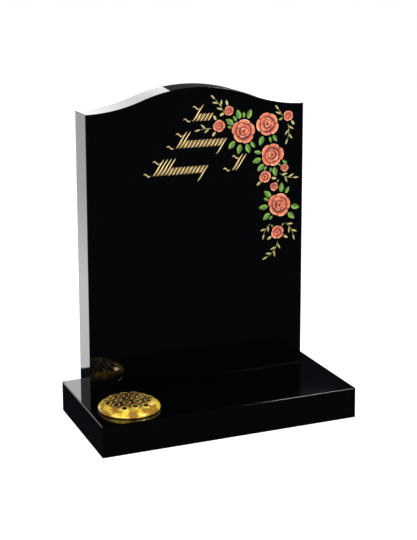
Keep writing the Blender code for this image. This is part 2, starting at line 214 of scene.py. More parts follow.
def flatFill(boundary, holes, inside=None):
    # triangles that fill a closed line but not the lines inside it; the third coordinates stay as given
    lines = [np.asarray(boundary)] + [np.asarray(hole) for hole in holes]
    loose = np.zeros((0, 3)) if inside is None else inside
    points = np.concatenate(lines + [loose])
    loops, start = [], 0
    for line in lines:
        order = np.arange(len(line)) + start
        area = np.cross(line[:, :2], np.roll(line[:, :2], -1, axis=0)).sum()
        loops.append((order if area > 0 else order[::-1]).tolist())
        start += len(line)
    flat = [Vector(point) for point in points[:, :2].tolist()]
    made, _, faces, origin, _, owners = delaunay_2d_cdt(flat, [], loops, 2, 1e-9, True)
    faces = [face for face, within in zip(faces, owners) if list(within) == [0]]
    source = np.array([ids[0] if ids else -1 for ids in origin])
    filled = points[source]
    strays = np.flatnonzero(source < 0)
    for i in strays:
        filled[i, :2] = made[i]
    if len(strays):
        print(f"{len(strays)} crossings in a fill, the first at", tuple(made[strays[0]]))
    return filled, np.array(faces)


def latheGrid(profile, sides, centre):
    # a profile of radius and height carried round the vertical line through centre
    angle = turnsOf(sides)[None, :]
    radius, height = profile[:, 0:1], profile[:, 1:2]
    x = centre[0] + radius * np.cos(angle)
    y = centre[1] + radius * np.sin(angle)
    return np.stack([x, y, np.broadcast_to(height, x.shape)], axis=-1)


def insetLine(line, inset):
    # each corner moves inwards along the mean of its two sides' normals, so that the sides move by inset
    along = np.roll(line, -1, axis=0) - line
    along /= np.linalg.norm(along, axis=1, keepdims=True)
    inwards = np.stack([-along[:, 1], along[:, 0]], axis=1)
    before = np.roll(inwards, 1, axis=0)
    mitre = (inwards + before) / (1 + (inwards * before).sum(axis=1, keepdims=True))
    return line + mitre * inset


def cornerArc(corner, heading, radius, hold, steps=5):
    # a quarter circle inside a square corner, turning left from heading, and a point just past each end
    centre = np.asarray(corner) - radius * (turned(heading) + turned(heading + np.pi / 2))
    arc = centre + radius * circle(heading + np.linspace(0, np.pi / 2, steps))
    first = arc[0] - hold * np.array([-math.sin(heading), math.cos(heading)])
    return np.concatenate([[first], arc, [arc[-1] - hold * turned(heading)]])


def rectangleArcs(low, high, radius, hold):
    # the rounded corners of a rectangle, from its lower right one, turning left
    places = ((high[0], low[1]), (high[0], high[1]), (low[0], high[1]), (low[0], low[1]))
    headings = (-np.pi / 2, 0, np.pi / 2, np.pi)
    return [cornerArc(corner, heading, radius, hold) for corner, heading in zip(places, headings)]


def slabPatches(line, low, high, arris, hold, place, lowHoles=(), highHoles=()):
    # a flat slab: its outline carried from low to high with a quarter-round arris at each end
    turn = np.linspace(0, np.pi / 2, 4)
    inset = np.concatenate([arris * (1 - np.sin(turn)), [0, 0], arris * (1 - np.cos(turn))])
    near = low + arris * (1 - np.cos(turn))
    far = high - arris * (1 - np.sin(turn))
    level = np.concatenate([near, [low + arris + hold, high - arris - hold], far])
    layers = np.stack([atLevel(insetLine(line, a), b) for a, b in zip(inset, level)])
    patches = [patchOf(place(layers.reshape(-1, 3)), gridFaces(len(inset), len(line), wrap=True))]
    for layer, holes in ((layers[0], lowHoles), (layers[-1], highHoles)):
        points, faces = flatFill(layer, [atLevel(hole, layer[0, 2]) for hole in holes])
        patches.append(patchOf(place(points), faces, smooth=False))
    return patches


# Polished black granite, for the headstone and the base

graniteLook = {
    "dark": (0.0003, 0.0003, 0.0004),
    "light": (0.0014, 0.0015, 0.0018),
    "fleck": (0.008, 0.008, 0.010),
    "grain": 900.0,  # mineral grains to a metre
    "fleckGrain": 420.0,
    "hazeScale": 9.0,
    "roughness": 0.03,
    "baseRoughness": 0.036,
    "ior": 1.6,
}


def makeGraniteGroup():
    # grains of two dark tones, a scatter of paler flecks, and a polish that is a little uneven
    group, given = newGroup(
        "polishedGranite",
        ("Dark", "Light", "Fleck"),
        {"Grain": 900, "Fleck Grain": 420, "Polish": 0.03},
        ("Color", "Roughness"),
    )
    place = objectPlace(group, (-900, 300))
    grain = noiseOf(group, (-650, 300), place, given["Grain"], 3.0, 0.6)
    spread = rampOf(group, (-420, 300), grain, [(0.42, 0), (0.68, 1)])
    stone = mixOf(group, (-150, 250), spread, given["Dark"], given["Light"])
    flecks = addNode(group, "TexVoronoi", (-650, -20), {"Vector": place, "Scale": given["Fleck Grain"]})
    chosen = rampOf(group, (-420, -20), flecks.outputs["Distance"], [(0.10, 1), (0.17, 0)])
    haze = noiseOf(group, (-650, -320), place, graniteLook["hazeScale"], 3.0)
    polish = addNode(group, "MapRange", (-420, -320), {"Value": haze, "To Min": 0.7, "To Max": 1.5})
    flecked = mixOf(group, (80, 150), chosen, stone, given["Fleck"])
    rough = mathOf(group, (-150, -250), "MULTIPLY", polish.outputs["Result"], given["Polish"])
    return endGroup(group, {"Color": flecked, "Roughness": rough})


def graniteMaterial(name, group, roughness):
    look = graniteLook
    material, tree, shader = newMaterial(name, {"IOR": look["ior"]})
    inputs = {"Dark": look["dark"], "Light": look["light"], "Fleck": look["fleck"]}
    inputs.update({"Grain": look["grain"], "Fleck Grain": look["fleckGrain"], "Polish": roughness})
    stone = useGroup(tree, group, (-300, 200), inputs)
    setInputs(tree, shader, {"Base Color": stone["Color"], "Roughness": stone["Roughness"]})
    return material


# Paint and gilding in the carving

paintLook = {
    "gild": {
        "light": (0.80, 0.65, 0.32),
        # dark: the brush's darker tone, and also the painted shade on a cut's far flank
        "dark": (0.26, 0.12, 0.02),
        "grain": 260.0,
        "metallic": 0.2,
        "roughness": 0.34,
    },
    "sprig": {
        "light": (0.42, 0.37, 0.13),
        # dark: the brush's darker tone, and also the painted shade on a cut's far flank
        "dark": (0.10, 0.09, 0.025),
        "grain": 300.0,
        "metallic": 0.0,
        "roughness": 0.5,
    },
    "leaf": {
        "light": (0.09, 0.25, 0.020),
        "pale": (0.27, 0.43, 0.055),
        # vein: the colour of the veins, and also the painted shade on one half of each leaf
        "vein": (0.010, 0.048, 0.007),
        "grain": 160.0,
        "veinSlant": -0.16,
        "veins": 7.0,
        "roughness": 0.45,
    },
    "rose": {
        "stops": [
            (0.0, (0.05, 0.006, 0.008)),
            (0.16, (0.24, 0.028, 0.024)),
            (0.38, (0.40, 0.080, 0.032)),
            (0.80, (0.55, 0.155, 0.060)),
            (1.0, (0.80, 0.44, 0.26)),
        ],
        "shade": (0.42, 0.065, 0.030),
        "line": (0.10, 0.014, 0.016),
        "grain": 210.0,
        "driftScale": 110.0,
        "drift": 0.5,  # how much the shading wanders
        "roughness": 0.45,
    },
    "bumpHeight": 0.0004,
}


def makeBrushGroup():
    # brush work: a colour mixed towards its shade in soft strokes, and a slight unevenness of the paint
    numbers = {"Grain": 260, "Amount": 0.5}
    group, given = newGroup("brushWork", ("Color", "Shade"), numbers, ("Color", "Height"))
    stroke = noiseOf(group, (-650, 200), objectPlace(group, (-900, 300)), given["Grain"], 4.0, 0.55)
    spread = rampOf(group, (-420, 200), stroke, [(0.36, 0), (0.66, 1)])
    share = mathOf(group, (-150, 250), "MULTIPLY", spread, given["Amount"])
    colour = mixOf(group, (80, 150), share, given["Color"], given["Shade"])
    return endGroup(group, {"Color": colour, "Height": stroke})


def brushed(tree, brush, colour, shade, grain, amount):
    inputs = {"Color": colour, "Shade": shade, "Grain": grain, "Amount": amount}
    return useGroup(tree, brush, (-220, 260), inputs)


def finishPaint(tree, shader, colour, height, strength):
    setInputs(tree, shader, {"Base Color": colour})
    addBump(tree, height, shader, strength, paintLook["bumpHeight"])


def paintShadeOnFlank(tree, colour, dark):
    # painted shade: one flank of a cut is darkened as if turned from the light, from just past its middle
    # line to its edge
    across = surfaceUv(tree, (-900, -420))[1]
    return mixOf(tree, (-60, -60), rampOf(tree, (-540, -420), across, [(0.10, 0), (0.55, 0.8)]), colour, dark)


def plainPaint(name, brush, look):
    material, tree, shader = newMaterial(name, {"Roughness": look["roughness"], "Metallic": look["metallic"]})
    work = brushed(tree, brush, look["light"], look["dark"], look["grain"], 0.45)
    # the brushed colour with painted shade on the far flank of each cut
    finishPaint(tree, shader, paintShadeOnFlank(tree, work["Color"], look["dark"]), work["Height"], 0.35)
    return material


def leafPaint(name, brush):
    # side veins slant back from a midrib, as dark lines on the brushed green
    look = paintLook["leaf"]
    material, tree, shader = newMaterial(name, {"Roughness": look["roughness"]})
    along, across = surfaceUv(tree, (-1300, 0))
    away = mathOf(tree, (-940, -120), "ABSOLUTE", across)
    slant = mathOf(tree, (-760, 0), "MULTIPLY_ADD", away, look["veinSlant"], along)
    rib = mathOf(tree, (-580, 0), "MULTIPLY", slant, look["veins"])
    ribShare = mathOf(tree, (-400, 0), "PINGPONG", rib, 0.5)
    veins = rampOf(tree, (-220, 0), ribShare, [(0.05, 1), (0.16, 0)])
    midrib = rampOf(tree, (-220, -220), away, [(0.06, 1), (0.16, 0)])
    lines = mathOf(tree, (60, -60), "MAXIMUM", veins, midrib)
    work = brushed(tree, brush, look["light"], look["pale"], look["grain"], 0.8)
    green = mixOf(tree, (260, 120), lines, work["Color"], look["vein"])
    # painted shade: one half of each leaf is darkened towards the vein colour
    finishPaint(tree, shader, paintShadeOnFlank(tree, green, look["vein"]), work["Height"], 0.3)
    return material


def rosePaint(name, brush):
    # the surface's own coordinates hold a mask for the dark lines between petals, and the petals' shading
    look = paintLook["rose"]
    material, tree, shader = newMaterial(name, {"Roughness": look["roughness"]})
    line, tone = surfaceUv(tree, (-1300, 0))
    drift = noiseOf(tree, (-1120, 300), objectPlace(tree, (-1300, 300)), look["driftScale"], 3.0)
    centred = mathOf(tree, (-940, 300), "SUBTRACT", drift, 0.5)
    shifted = mathOf(tree, (-760, 150), "MULTIPLY_ADD", centred, look["drift"], tone)
    blend = rampOf(tree, (-580, 150), shifted, look["stops"])
    work = brushed(tree, brush, blend, look["shade"], look["grain"], 0.4)
    coral = mixOf(tree, (60, 120), line, work["Color"], look["line"])
    finishPaint(tree, shader, coral, work["Height"], 0.3)
    return material


# Brass of the flower holder

brassLook = {
    "bright": (0.98, 0.68, 0.075),
    "warm": (0.36, 0.19, 0.025),
    # dark brown: tarnish, and also painted shade on the dome between the holes, under the lid and in the pot
    "tarnishAndShade": (0.036, 0.013, 0.003),
    # the pale colour of painted glints on the lips
    "paintedGlint": (0.95, 0.80, 0.40),
    "metallic": 0.35,  # lacquered metal: the rest of the colour is matt
    "grain": 36.0,
    # the pot is dulled to dark brown almost all over, as painted shade inside the holder
    "potPaintedShade": 0.9,
    "tarnishRoughness": 0.22,
    "lidRoughness": 0.17,
    "potRoughness": 0.30,
    "coat": 0.25,
    "coatRoughness": 0.10,
}


def makeBrassGroup():
    # aged brass: a slow drift between bright and warm metal, dulled to brown tarnish and painted shade by a
    # mask
    group, given = newGroup(
        "agedBrass",
        ("Bright", "Warm", "TarnishAndShade"),
        {"Mask": 0, "Polish": 0.2, "Grain": 60},
        ("Color", "Roughness", "Height"),
    )
    drift = noiseOf(group, (-650, 300), objectPlace(group, (-900, 300)), given["Grain"], 5.0, 0.6)
    spread = rampOf(group, (-420, 300), drift, [(0.435, 0), (0.555, 1)])
    metal = mixOf(group, (-150, 250), spread, given["Bright"], given["Warm"])
    uneven = addNode(group, "MapRange", (-420, 0), {"Value": drift, "To Min": 0.72, "To Max": 1.2})
    mask = mathOf(group, (-200, 0), "MULTIPLY", given["Mask"], uneven.outputs["Result"], use_clamp=True)
    dulled = mixOf(group, (80, 150), mask, metal, given["TarnishAndShade"])
    rough = mathOf(group, (80, -150), "MULTIPLY_ADD", mask, brassLook["tarnishRoughness"], given["Polish"])
    return endGroup(group, {"Color": dulled, "Roughness": rough, "Height": drift})


def brassMaterial(name, group, polish, masked):
    # where masked, the surface's own coordinates say how dark with tarnish and painted shade each place is,
    # and where its painted glints lie
    look = brassLook
    fixed = {"Metallic": look["metallic"], "Coat Weight": look["coat"]}
    fixed["Coat Roughness"] = look["coatRoughness"]
    material, tree, shader = newMaterial(name, fixed)
    inputs = {"Bright": look["bright"], "Warm": look["warm"], "TarnishAndShade": look["tarnishAndShade"]}
    # unmasked, the whole surface takes the pot's painted shade
    inputs.update({"Polish": polish, "Grain": look["grain"], "Mask": look["potPaintedShade"]})
    if masked:
        inputs["Mask"], paintedGlint = surfaceUv(tree, (-700, 0))
    metal = useGroup(tree, group, (-300, 200), inputs)
    colour = metal["Color"]
    if masked:
        pale = rampOf(tree, (-300, -60), paintedGlint, [(0.25, 0), (0.75, 1)])
        colour = mixOf(tree, (0, 100), pale, colour, look["paintedGlint"])
    setInputs(tree, shader, {"Base Color": colour, "Roughness": metal["Roughness"]})
    addBump(tree, metal["Height"], shader, 0.15, 0.0006)
    return material


print("materials")
graniteGroup = makeGraniteGroup()
brushGroup = makeBrushGroup()
brassGroup = makeBrassGroup()
headstoneGranite = graniteMaterial("headstone granite", graniteGroup, graniteLook["roughness"])
baseGranite = graniteMaterial("base granite", graniteGroup, graniteLook["baseRoughness"])
gildPaint = plainPaint("gilding", brushGroup, paintLook["gild"])
sprigPaint = plainPaint("sprig paint", brushGroup, paintLook["sprig"])
leafGreen = leafPaint("leaf paint", brushGroup)
roseCoral = rosePaint("rose paint", brushGroup)
lidBrass = brassMaterial("lid brass", brassGroup, brassLook["lidRoughness"], True)
potBrass = brassMaterial("pot brass", brassGroup, brassLook["potRoughness"], False)

# Carving of the headstone. Places are in from the right edge and down from the shoulder, as in the solid.

rowSettings = {
    "height": 0.018,
    "capital": 0.038,
    "pitch": 0.0094,
    "spacing": 0.060,
    "firstDrop": 0.029,
    "slant": math.radians(36),
    "width": 0.0032,
    "linkWidth": 0.0012,
    "linkPaintedShade": 0.5,  # the links are wholly in the painted shade of a cut's far flank
    "bowShare": 0.03,
    "tail": 0.019,
    "strokeFullness": 0.94,
    "strokePower": 0.55,
    "swashLength": 0.018,
    "swashRise": 0.0035,
    "swashWidth": 0.0024,
    "swashPower": 0.7,
    "depthRatio": 0.8,
    # each group: row, place of its left end, tall strokes, short strokes, whether the last runs on below
    "groups": (
        (0, 0.3025, 1, 4, False),
        (1, 0.3435, 2, 11, True),
        (2, 0.3995, 4, 10, True),
        (2, 0.2045, 2, 0, False),
    ),
}
sprayWork = {
    "petalGap": 0.0011,
    # each ring: petals, inner share and outer share of the radius, turn
    "roseRings": ((5, 0.62, 1.0, 0.0), (5, 0.34, 0.62, math.pi / 5), (3, 0.06, 0.34, 0.0)),
    "budRings": ((4, 0.5, 1.0, 0.0), (3, 0.1, 0.5, 1.0)),
    # in, down, diameter, turn, headings of the leaves
    "roses": (
        (0.1530, 0.059, 0.060, 12, (70, 108, 146, 226, 256, 286)),
        (0.0920, 0.046, 0.058, 40, (248,)),
        (0.0790, 0.119, 0.058, 75, (196, 224, 280)),
        (0.0600, 0.240, 0.059, 5, (84, 138, 184, 218, 318, 350)),
    ),
    "buds": (
        (0.1895, 0.009, 0.024, 30),
        (0.2140, 0.043, 0.030, 10),
        (0.0385, 0.029, 0.026, 50),
        (0.0470, 0.152, 0.020, 0),
        (0.0970, 0.170, 0.030, 20),
        (0.0740, 0.195, 0.021, 65),
        (0.0640, 0.306, 0.034, 35),
    ),
    # finer leaves that only this surface has, for each rose and each bud: heading and scale
    "roseLeaves": (
        ((90, 1.0), (126, 1.0), (162, 0.8), (306, 1.25)),
        ((18, 0.8), (282, 1.0), (300, 1.25)),
        ((168, 1.25), (240, 0.8), (264, 0.8), (330, 1.0)),
        ((60, 1.25), (156, 1.0), (234, 0.8)),
    ),
    "budLeaves": (
        ((108, 1.25), (204, 1.25)),
        ((120, 1.25), (234, 1.25)),
        ((306, 1.25),),
        ((150, 0.8),),
        ((222, 1.25), (348, 1.25)),
        ((54, 0.8),),
        ((54, 0.8), (132, 0.8), (210, 1.25), (330, 1.25)),
    ),
    # length, width and depth of the finer leaves and of the others
    "fineLeaves": {"rose": (0.0145, 0.0085, 0.0007), "bud": (0.0105, 0.0060, 0.0005)},
    "leaf": (0.023, 0.015, 0.0010),
    "fineGap": 0.0012,
    "leafGap": 0.001,
    # in, down, heading, bend, leaflets
    "sprigs": (
        (0.2030, 0.012, 115, 20, 4),
        (0.2320, 0.048, 172, 20, 3),
        (0.0540, 0.030, 110, 20, 2),
        (0.0400, 0.046, 290, -40, 4),
        (0.0600, 0.164, 320, 40, 4),
        (0.0830, 0.284, 215, 40, 3),
        (0.0450, 0.284, 325, -40, 4),
        (0.0640, 0.326, 265, -60, 5),
    ),
    "leafletLength": 0.0145,
    "leafletWidth": 0.0052,
    "leafletPitch": 0.0095,
    "leafletSpread": math.radians(42),
    "leafletSetback": 0.35,
    "leafletDepthShare": 0.8,
    "stemWidth": 0.0011,
    "stemEnd": 0.6,  # share of its width at a stem's ends
    "sprigDepthRatio": 0.5,
}
# A leaf's outline: how skewed and full its arch is, how deep its notches are, and the share of its width kept
leafShape = {"skew": 0.85, "fullness": 0.8, "notch": 0.16, "kept": 0.92, "sharpness": 2.2, "tip": 0.98}
petalShape = {
    "uneven": 0.05,  # how much some petals of a ring fall short
    "unevenTurn": 2.4,
    "offCentre": 0.11,  # how far each inner ring lies off the middle
    "offCentreTurn": 2.3,
    "wave": 0.05,
    "notch": 0.1,  # how far the edge falls back between two petals
    "notchPower": 2.6,
    "swirl": 0.22,  # how far the inner petals turn on their way in
    "depth": 0.0011,
    # shares of the depth
    "dish": 0.3,
    "body": 1.3,
    "lean": 0.2,
    # where the dark line between petals starts, and how wide it fades
    "side": (0.84, 0.12),
    "heart": (0.13, 0.08),
}
stoneSlots = {"granite": 0, "gild": 1, "rose": 2, "leaf": 3, "sprig": 4}

stoneLow, stoneHigh = (np.array(corner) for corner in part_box("headstone"))
shoulder = 0.637
stoneSize = {
    "half": (stoneHigh[0] - stoneLow[0]) / 2,
    "front": stoneLow[1],
    "back": stoneHigh[1],
    "rise": stoneHigh[2] - stoneLow[2] - shoulder,
    "arris": 0.001,
    "cornerRadius": 0.0013,
    "hold": 0.0004,
}
shoulderLevel = stoneLow[2] + shoulder


def onFace(inward, down):
    return np.array([stoneSize["half"] - inward, -down])


def carved(face):
    # from places on the face and depths into it to points of the stone
    face = np.asarray(face).reshape(-1, 3)
    return np.column_stack([face[:, 0], stoneSize["front"] + face[:, 2], shoulderLevel + face[:, 1]])


def cutAlong(centre, half, depthRatio, slot, sharpness=1.25, across=7):
    # a cut along a line: from edge to edge v runs from -1 to 1, the place is centre + v half normal,
    # and the depth is depthRatio half (1 - |v| ** sharpness). It has no width at its two ends.
    half[[0, -1]] = 0
    along = np.gradient(centre, axis=0)
    along /= np.linalg.norm(along, axis=1, keepdims=True)
    normal = np.stack([-along[:, 1], along[:, 0]], axis=1)
    v = np.linspace(-1, 1, across)
    place = centre[:, None, :] + v[None, :, None] * half[:, None, None] * normal[:, None, :]
    depth = depthRatio * half[:, None] * (1 - np.abs(v)[None, :] ** sharpness)
    grid = np.concatenate([place, depth[..., None]], axis=-1)
    share = np.broadcast_to(np.linspace(0, 1, len(centre))[:, None], depth.shape)
    uv = np.stack([share, np.broadcast_to(v[None, :], depth.shape)], axis=-1)
    patch = patchOf(carved(grid), gridFaces(len(centre), across), stoneSlots[slot], uv=uv)
    flat = grid[..., :2]
    return patch, np.concatenate([flat[:1, 0], flat[1:-1, 0], flat[-1:, 0], flat[-2:0:-1, -1]])


def strokeCut(foot, level, height, width):
    # a slanted line with a slight double bow: foot + lean share + bow sin(2 pi share), widest in its middle
    s = rowSettings
    share = np.linspace(0, 1, 17)
    bow = s["height"] * s["bowShare"]
    lean = height * math.tan(s["slant"])
    centre = np.column_stack([foot + lean * share + bow * np.sin(2 * np.pi * share), level + height * share])
    half = width / 2 * np.sin(np.pi * share) ** s["strokePower"] * s["strokeFullness"]
    return cutAlong(centre, half, s["depthRatio"], "gild")


def swashCut(left, level):
    # a level wave: level + rise sin(2 pi share)
    s = rowSettings
    share = np.linspace(0, 1, 21)
    wave = level + s["swashRise"] * np.sin(2 * np.pi * share)
    centre = np.column_stack([left + s["swashLength"] * share, wave])
    half = s["swashWidth"] / 2 * np.sin(np.pi * share) ** s["swashPower"]
    return cutAlong(centre, half, s["depthRatio"], "gild")


def groupCuts(row, inward, tall, short, tailed):
    # two waves, then tall strokes and short ones side by side, with a thin stroke between each two
    s = rowSettings
    left, level = onFace(inward, s["firstDrop"] + row * s["spacing"])
    brow = s["capital"] - 2 * s["swashRise"]
    cuts = [swashCut(left, level + s["swashRise"])]
    cuts.append(swashCut(left + brow * math.tan(s["slant"]), level + brow))
    for i in range(tall + short):
        foot = left + s["swashLength"] + (i + 0.5) * s["pitch"]
        height = s["capital"] if i < tall else s["height"]
        drop = s["tail"] if tailed and i == tall + short - 1 else 0
        cuts.append(strokeCut(foot - drop * math.tan(s["slant"]), level - drop, height + drop, s["width"]))
        if i + 1 < tall + short:
            link, rim = strokeCut(foot + s["pitch"] / 2, level, s["height"], s["linkWidth"])
            # each link lies wholly in the painted shade
            link["uv"][:, 1] = s["linkPaintedShade"]
            cuts.append((link, rim))
    return cuts


def leafCut(root, heading, length, width, depth, slot, teeth=6):
    # a leaf: half its width is a skewed arch, notched into teeth, and it is deepest along its middle
    s = leafShape
    share = np.linspace(0, 1, 4 * teeth + 1)
    centre = root[None, :] + (length * share)[:, None] * turned(heading)[None, :]
    arch = np.sin(np.pi * share ** s["skew"]) ** s["fullness"]
    notch = 1 - s["notch"] * ((teeth * share) % 1.0) * (share < s["tip"])
    half = width / 2 * arch * notch * s["kept"]
    return cutAlong(centre, half, depth / (width / 2), slot, s["sharpness"], across=9)


def leafletCut(root, heading):
    s = sprayWork
    depth = s["sprigDepthRatio"] * s["leafletWidth"] / 2 * s["leafletDepthShare"]
    return leafCut(root, heading, s["leafletLength"], s["leafletWidth"], depth, "sprig", teeth=3)


def sprigCuts(inward, down, degrees, bendDegrees, leaflets):
    # a stem on an arc, with leaflets on its two sides in turn and one at its tip
    s = sprayWork
    root = onFace(inward, down)
    start, bend = math.radians(degrees), math.radians(bendDegrees)
    radius = s["leafletPitch"] * leaflets / bend

    def stemPlace(share):
        angle = start + bend * np.asarray(share)
        x = root[0] + radius * (np.sin(angle) - math.sin(start))
        y = root[1] - radius * (np.cos(angle) - math.cos(start))
        return np.stack([x, y], axis=-1)

    share = np.linspace(0, 1, 15)
    half = s["stemWidth"] / 2 * (s["stemEnd"] + (1 - s["stemEnd"]) * np.sin(np.pi * share))
    cuts = [cutAlong(stemPlace(share), half, s["sprigDepthRatio"], "sprig", across=5)]
    for i in range(1, leaflets):
        share = (i - s["leafletSetback"]) / leaflets
        heading = start + bend * share + (1 if i % 2 else -1) * s["leafletSpread"]
        foot = stemPlace(share) + (s["stemWidth"] + s["leafGap"] / 2) * turned(heading)
        cuts.append(leafletCut(foot, heading))
    cuts.append(leafletCut(stemPlace(1) + s["leafGap"] / 2 * turned(start + bend), start + bend))
    return cuts


def petalRing(angle, radius, ring, degrees, level=0):
    # for each direction: a ring's reach, the place across the petal from -1 to 1, and which petal it is
    s = petalShape
    count, _, outer, turn = ring
    room = 0 if outer == 1 else sprayWork["petalGap"]
    heading = math.radians(degrees) + turn
    pitch = 2 * math.pi / count
    k = np.round((angle - heading) / pitch)
    across = (angle - heading - k * pitch) / (pitch / 2)
    uneven = 1 - s["uneven"] * (1 + np.sin(s["unevenTurn"] * (k % count) + heading))
    offCentre = s["offCentre"] * level * np.cos(angle - s["offCentreTurn"] * heading)
    uneven = uneven * (1 + offCentre + s["wave"] * level * np.sin(3 * angle + heading))
    edge = 1 - s["notch"] * np.abs(across) ** s["notchPower"]
    return (outer * radius - room) * uneven * edge, across, k % count


def flowerCut(inward, down, diameter, degrees, rings):
    # a flower: polar places centre + share edge(angle) (cos, sin), where edge is the outer petals' reach.
    # Each place belongs to the innermost ring of petals that reaches it, at s across its petal and t from
    # heart to lip. The depth adds up a dish 1 - share ** 6, a body (1 - 0.7 s ** 4) t ** 0.4 (1 - t) ** 0.7
    # and a lean to one side (1 + s) (1 - share ** 6) min(1, 4 t), each by its share of the flower's depth.
    s = petalShape
    centre = onFace(inward, down)
    radius = diameter / 2
    columns, rows = (150, 44) if len(rings) > 2 else (90, 26)
    angle = turnsOf(columns)
    edge = petalRing(angle, radius, rings[0], degrees)[0]
    share = np.linspace(0, 1, rows)[:, None]
    away = share * edge[None, :]
    across, along, petal = (np.zeros_like(away) for _ in range(3))
    for level, ring in enumerate(rings):
        swirl = angle[None, :] + (s["swirl"] * level * (1 - share) if level else 0)
        reach, place, k = petalRing(swirl, radius, ring, degrees, level)
        inner = ring[1] * radius
        within = (away <= reach) | (level == 0)
        across = np.where(within, place, across)
        along = np.where(within, np.clip((away - inner) / (reach - inner), 0, 1), along)
        petal = np.where(within, k + 7 * level, petal)
    dish = 1 - share**6
    body = (1 - 0.7 * across**4) * along**0.4 * (1 - along) ** 0.7
    lean = (1 + across) * dish * np.minimum(1, 4 * along)
    depth = s["depth"] * (s["dish"] * dish + s["body"] * body + s["lean"] * lean)
    depth[-1] = 0
    grid = np.stack([centre[0] + away * np.cos(angle), centre[1] + away * np.sin(angle), depth], axis=-1)
    # the shading: dark at a petal's heart and light at its lip, with soft folds, each petal a little other
    folds = 0.07 * np.sin(9 * across + 2.1 * petal) * along
    tone = np.clip(0.05 + 0.9 * along**0.8 + folds + 0.09 * np.sin(2.7 * petal + degrees), 0, 1)
    side = (np.abs(across) - s["side"][0]) / s["side"][1]
    line = np.clip(np.maximum(side, (s["heart"][0] - along) / s["heart"][1]), 0, 1) * (share < 0.999)
    uv = np.stack([line, tone], axis=-1)
    patch = patchOf(carved(grid), gridFaces(rows, columns, wrap=True), stoneSlots["rose"], uv=uv)
    return patch, grid[-1, :, :2]


def rootBy(flower, gap, heading):
    # where a leaf starts that points away from a flower
    return onFace(flower[0], flower[1]) + (flower[2] / 2 + gap) * turned(heading)


def allCuts():
    s = sprayWork
    cuts = []
    for group in rowSettings["groups"]:
        cuts += groupCuts(*group)
    for rose in s["roses"]:
        cuts.append(flowerCut(*rose[:4], s["roseRings"]))
        for degrees in rose[4]:
            heading = math.radians(degrees)
            cuts.append(leafCut(rootBy(rose, s["leafGap"], heading), heading, *s["leaf"], "leaf"))
    for bud in s["buds"]:
        cuts.append(flowerCut(*bud, s["budRings"]))
    for sprig in s["sprigs"]:
        cuts += sprigCuts(*sprig)
    for kind, (length, width, depth) in s["fineLeaves"].items():
        for flower, leaves in zip(s[kind + "s"], s[kind + "Leaves"]):
            for degrees, scale in leaves:
                heading = math.radians(degrees)
                root = rootBy(flower, s["fineGap"], heading)
                slot = "sprig" if kind == "bud" and scale > 1 else "leaf"
                cuts.append(leafCut(root, heading, length * scale, width * scale, depth, slot, teeth=4))
    return cuts


def ogeeLine():
    # from one shoulder to the other: two equal arcs each side, hollow by the shoulder and round by the crown
    half, rise = stoneSize["half"], stoneSize["rise"]
    radius = (half**2 + rise**2) / (4 * rise)
    reach = half - stoneSize["cornerRadius"] - 2 * stoneSize["hold"]
    across = np.linspace(reach, -reach, 161)
    away = np.abs(across)
    hollow = radius - np.sqrt(radius**2 - (half - away) ** 2)
    crown = rise - radius + np.sqrt(radius**2 - away**2)
    return np.column_stack([across, np.where(away > half / 2, hollow, crown)])


def makeHeadstone():
    s = stoneSize
    arcs = rectangleArcs((-s["half"], -shoulder), (s["half"], 0), s["cornerRadius"], s["hold"])
    line = np.concatenate([*arcs[:2], ogeeLine(), *arcs[2:]])
    cuts = allCuts()
    rims = [rim for _, rim in cuts]
    patches = slabPatches(line, 0, s["back"] - s["front"], s["arris"], s["hold"], carved, lowHoles=rims)
    patches += [patch for patch, _ in cuts]
    materials = [headstoneGranite, gildPaint, roseCoral, leafGreen, sprigPaint]
    piece = pieceOf("headstone_carved", patches, materials)
    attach(piece, "root")
    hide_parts("headstone")


# Base

baseLow, baseHigh = (np.array(corner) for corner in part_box("base"))
lidLow, lidHigh = (np.array(corner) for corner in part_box("lid"))
potLow, potHigh = (np.array(corner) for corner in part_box("pot"))
holderPlace = (lidLow[:2] + lidHigh[:2]) / 2
flangeRadius = (potHigh[0] - potLow[0]) / 2
baseSettings = {"arris": 0.0015, "cornerRadius": 0.0019, "hold": 0.0005, "boreSeat": 0.005, "boreSides": 96}


def makeBase():
    # the base seen from above, with a round bore under the flower holder
    s = baseSettings
    low, high = baseLow[2], baseHigh[2]
    line = np.concatenate(rectangleArcs(baseLow, baseHigh, s["cornerRadius"], s["hold"]))
    bore = holderPlace + (flangeRadius - s["boreSeat"]) * circle(turnsOf(s["boreSides"]))
    patches = slabPatches(line, low, high, s["arris"], s["hold"], np.asarray, [bore], [bore])
    wall = np.stack([atLevel(bore, low), atLevel(bore, high)])
    patches.append(patchOf(wall, gridFaces(2, len(bore), wrap=True)))
    piece = pieceOf("base_block", patches, [baseGranite])
    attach(piece, "root")
    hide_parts("base")


# Flower holder

